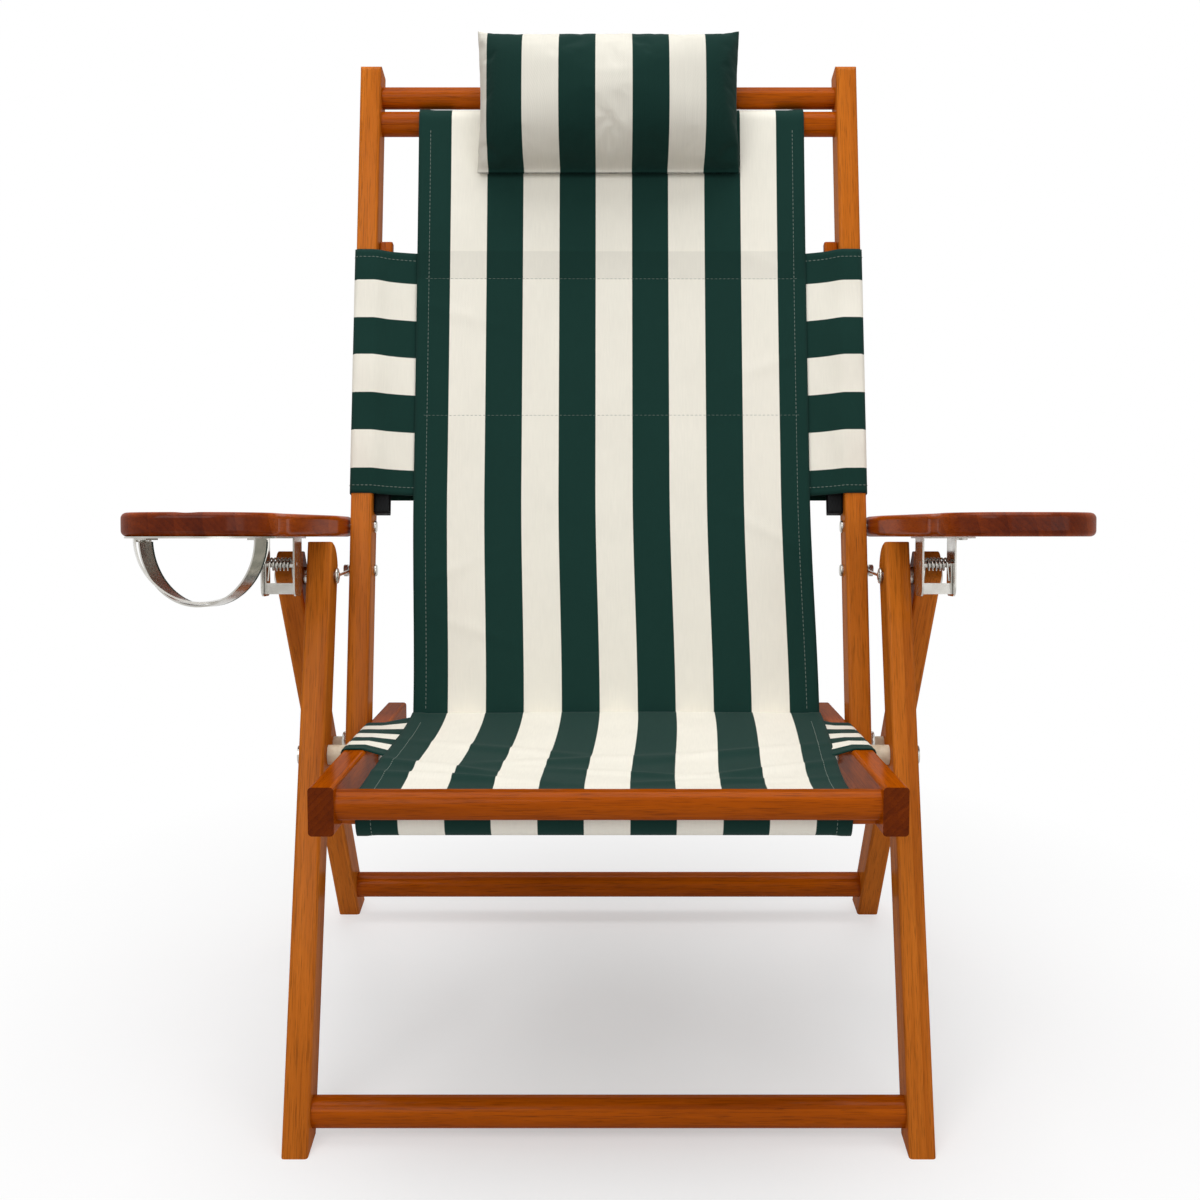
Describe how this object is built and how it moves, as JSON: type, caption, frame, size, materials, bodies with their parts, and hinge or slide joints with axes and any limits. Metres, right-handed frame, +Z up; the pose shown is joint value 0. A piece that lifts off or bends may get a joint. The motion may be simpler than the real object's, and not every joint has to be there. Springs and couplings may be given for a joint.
{
  "type": "folding beach chair",
  "caption": "Folding wooden beach chair with a striped canvas sling, paddle armrests, a strap cup basket under one armrest and a headrest pillow.",
  "frame": {"origin": "on the floor under the middle of the chair's box, in the opened position of the picture", "axes": "+Z up; the sitter looks along -Y; +X to the right of someone who faces the chair, so the cup basket is on -X"},
  "size_m": [0.82, 0.5992, 0.9536],
  "materials": {
    "timber": "satin varnish over a honey to red-brown stained hardwood",
    "steel": "zinc-plated steel",
    "canvas": "woven canvas in dark green and cream stripes",
    "webbing": "woven black webbing",
    "nylon": "moulded, matt",
    "trim": "dark green edge strip"
  },
  "bodies": {
    "front_frame": {"front_leg_left": "timber", "front_leg_right": "timber", "front_stretcher": "timber", "apex_bolt_left": "steel", "apex_bolt_right": "steel", "apex_washers": "steel", "seat_bolts": "steel", "seat_nuts": "steel", "seat_spacers": "nylon"},
    "rear_frame": {"rear_leg_left": "timber", "rear_leg_right": "timber", "rear_stretcher": "timber", "rest_pegs": "nylon"},
    "seat_frame": {"seat_rail_left": "timber", "seat_rail_right": "timber", "seat_front_dowel": "timber", "seat_sling_dowel": "timber", "hinge_dowel": "timber", "hinge_bolts": "steel", "seat_sling": "canvas", "seat_wrap_left": "canvas", "seat_wrap_right": "canvas"},
    "back_frame": {"upright_left": "timber", "upright_right": "timber", "top_dowel": "timber", "sling_dowel": "timber", "arm_bolts": "steel", "link_bolts": "steel", "back_sling": "canvas", "back_pocket": "canvas", "pocket_batten_left": "timber", "pocket_batten_right": "timber", "strap_tabs": "webbing", "pillow": "canvas", "pillow_straps": "webbing"},
    "arm_left": {"armrest_left": "timber", "catch_bracket_left": "steel", "catch_pin_left": "steel", "catch_spring_left": "steel", "catch_screws_left": "steel", "cup_plate": "steel", "cup_band_inner": "steel", "cup_band_outer": "steel", "cup_band_trim": "trim", "cup_screws": "steel"},
    "arm_right": {"armrest_right": "timber", "catch_bracket_right": "steel", "catch_pin_right": "steel", "catch_spring_right": "steel", "catch_screws_right": "steel"},
    "lever_left": {"release_lever_left": "steel"},
    "lever_right": {"release_lever_right": "steel"},
    "link_left": {"link_wire_left": "steel"},
    "link_right": {"link_wire_right": "steel"}
  },
  "joints": [
    {"name": "recline_fold", "type": "hinge", "parent": "front_frame", "child": "seat_frame", "pos_m": [0, -0.05481, 0.301], "axis": [1, 0, 0], "range_deg": [0, 68]},
    {"name": "rear_leg_fold", "type": "hinge", "parent": "front_frame", "child": "rear_frame", "pos_m": [0, 0.01795, 0.45223], "axis": [1, 0, 0], "range_deg": [-46.24, 0]},
    {"name": "back_fold", "type": "hinge", "parent": "seat_frame", "child": "back_frame", "pos_m": [0, 0.02319, 0.288], "axis": [1, 0, 0], "range_deg": [-68, 0]},
    {"name": "link_left_turn", "type": "hinge", "parent": "front_frame", "child": "link_left", "pos_m": [-0.2545, 0.01795, 0.45223], "axis": [1, 0, 0], "range_deg": [0, 68]},
    {"name": "link_right_turn", "type": "hinge", "parent": "front_frame", "child": "link_right", "pos_m": [0.2545, 0.01795, 0.45223], "axis": [1, 0, 0], "range_deg": [0, 68]},
    {"name": "arm_left_lift", "type": "hinge", "parent": "back_frame", "child": "arm_left", "pos_m": [-0.27, 0.10491, 0.48146], "axis": [-1, 0, 0], "range_deg": [0, 100]},
    {"name": "arm_right_lift", "type": "hinge", "parent": "back_frame", "child": "arm_right", "pos_m": [0.27, 0.10491, 0.48146], "axis": [-1, 0, 0], "range_deg": [0, 100]},
    {"name": "lever_left_press", "type": "hinge", "parent": "arm_left", "child": "lever_left", "pos_m": [-0.297, -0.02952, 0.47425], "axis": [-1, 0, 0], "range_deg": [0, 12], "stiffness_Nm_per_rad": 0.4},
    {"name": "lever_right_press", "type": "hinge", "parent": "arm_right", "child": "lever_right", "pos_m": [0.297, -0.02952, 0.47425], "axis": [-1, 0, 0], "range_deg": [0, 12], "stiffness_Nm_per_rad": 0.4}
  ],
  "couplings": [
    {"joint": "rear_leg_fold", "follows": "recline_fold", "ratio": -0.68},
    {"joint": "back_fold", "follows": "recline_fold", "ratio": -1},
    {"joint": "link_left_turn", "follows": "recline_fold", "ratio": 1},
    {"joint": "link_right_turn", "follows": "recline_fold", "ratio": 1}
  ]
}
